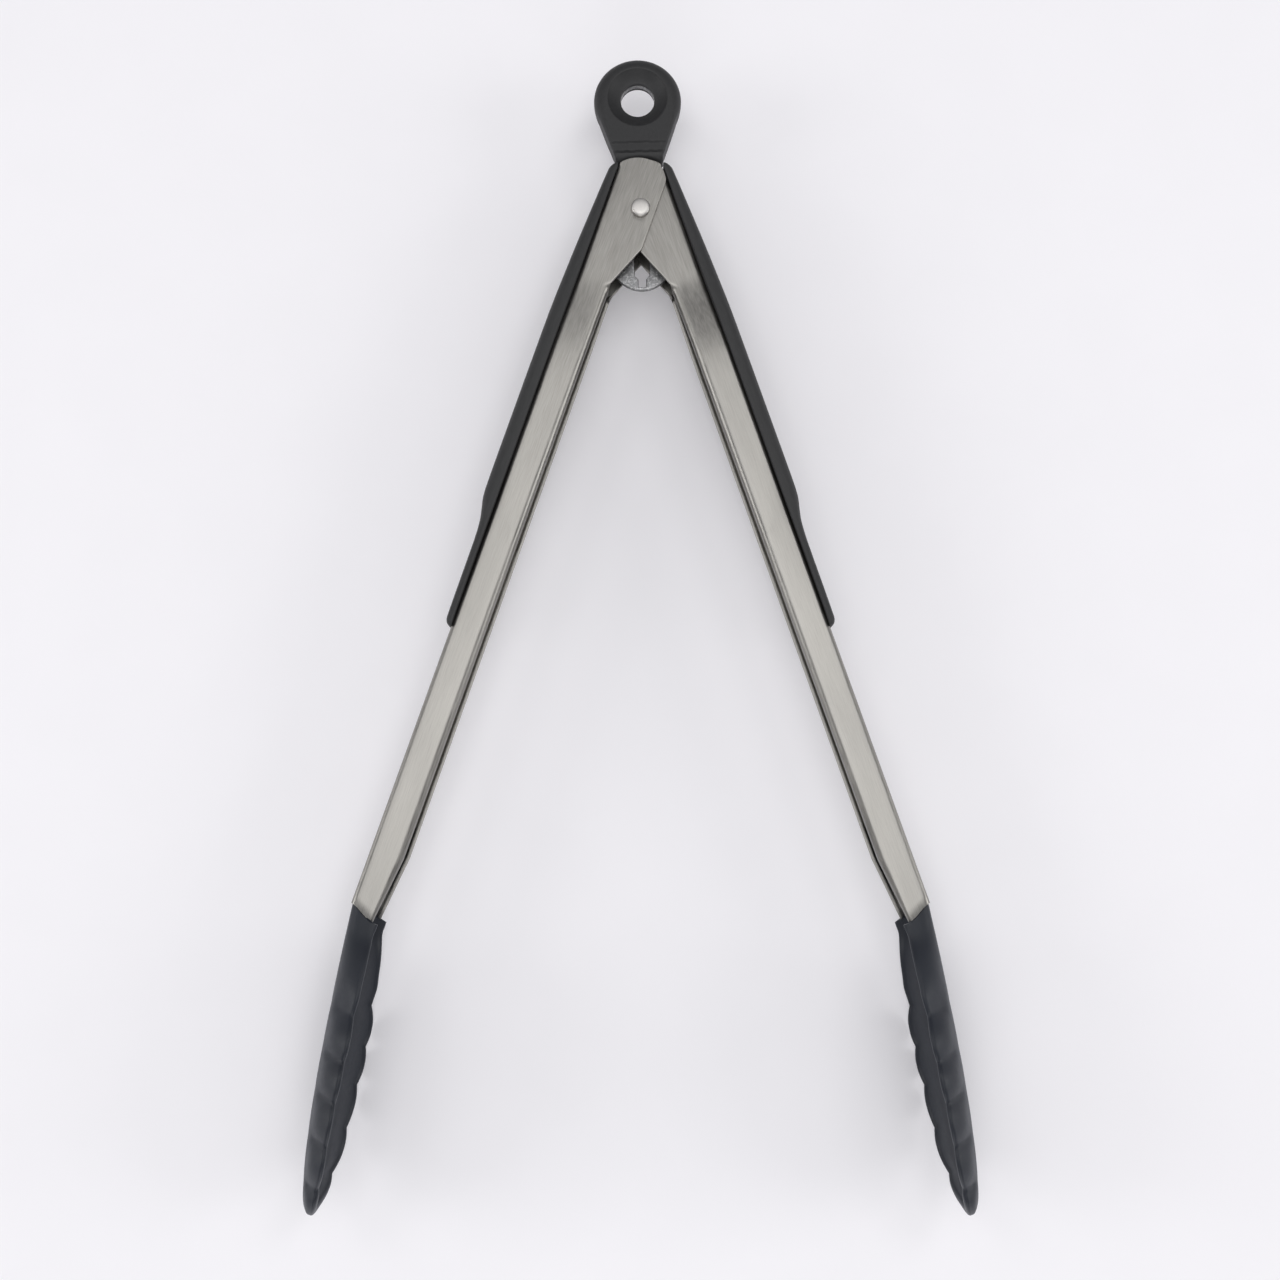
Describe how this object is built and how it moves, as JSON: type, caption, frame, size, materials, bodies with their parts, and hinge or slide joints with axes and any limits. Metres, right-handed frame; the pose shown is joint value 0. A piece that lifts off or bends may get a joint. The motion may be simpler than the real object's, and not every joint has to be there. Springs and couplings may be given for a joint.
{
  "type": "kitchen tongs",
  "caption": "Spring-loaded kitchen tongs: two folded steel arms on one rivet, soft grips, scalloped silicone scoop heads and a pull tab that slides a locking plate.",
  "frame": {"origin": "under the middle of the open tongs' box, on the surface that they lie on, side down", "axes": "+Z is the hinge axis, up from the surface; +Y runs along the tongs from the heads to the pull tab; +X is from the left arm to the right arm"},
  "size_m": [0.1874, 0.3328, 0.04],
  "materials": {
    "brushed_steel": "stainless sheet, brushed along the arm",
    "rivet_steel": "satin formed rivet",
    "plate_steel": "dark tumbled stamping with a bright edge",
    "spring_steel": "drawn spring wire",
    "bush_nylon": "natural moulded",
    "hard_insert": "black moulded",
    "tab_rubber": "matte soft moulded",
    "grip_rubber": "matte soft moulded, finely textured",
    "tip_nylon": "black moulded",
    "tip_silicone": "matte silicone, slate tint"
  },
  "bodies": {
    "pivot": {"pivot_rivet": "rivet_steel", "spring_bush_front": "bush_nylon", "spring_bush_back": "bush_nylon", "torsion_spring_front": "spring_steel", "torsion_spring_back": "spring_steel"},
    "left_side": {"left_arm": "brushed_steel", "left_grip_carrier": "hard_insert", "left_grip_cover": "grip_rubber", "left_tip_core": "tip_nylon", "left_tip_cover": "tip_silicone", "left_tip_rivet": "rivet_steel"},
    "right_side": {"right_arm": "brushed_steel", "right_grip_carrier": "hard_insert", "right_grip_cover": "grip_rubber", "right_tip_core": "tip_nylon", "right_tip_cover": "tip_silicone", "right_tip_rivet": "rivet_steel"},
    "lock_slide": {"lock_plate": "plate_steel", "tab_core": "hard_insert", "tab_cover": "tab_rubber"}
  },
  "joints": [
    {"name": "left_arm_hinge", "type": "hinge", "parent": "pivot", "child": "left_side", "pos_m": [0, 0.11955, 0.02], "axis": [0, 0, 1], "range_deg": [0, 17.45], "stiffness_Nm_per_rad": 0.8, "springref_deg": -17.19, "deforming": ["torsion_spring_front", "torsion_spring_back"]},
    {"name": "right_arm_hinge", "type": "hinge", "parent": "pivot", "child": "right_side", "pos_m": [0, 0.11955, 0.02], "axis": [0, 0, 1], "range_deg": [-17.45, 0], "stiffness_Nm_per_rad": 0.8, "springref_deg": 17.19, "deforming": ["torsion_spring_front", "torsion_spring_back"]},
    {"name": "tab_slide", "type": "slide", "parent": "pivot", "child": "lock_slide", "axis": [-0.0262, 0.9997, 0], "range_m": [0, 0.0134]}
  ],
  "couplings": [
    {"joint": "right_arm_hinge", "follows": "left_arm_hinge", "ratio": -1}
  ]
}
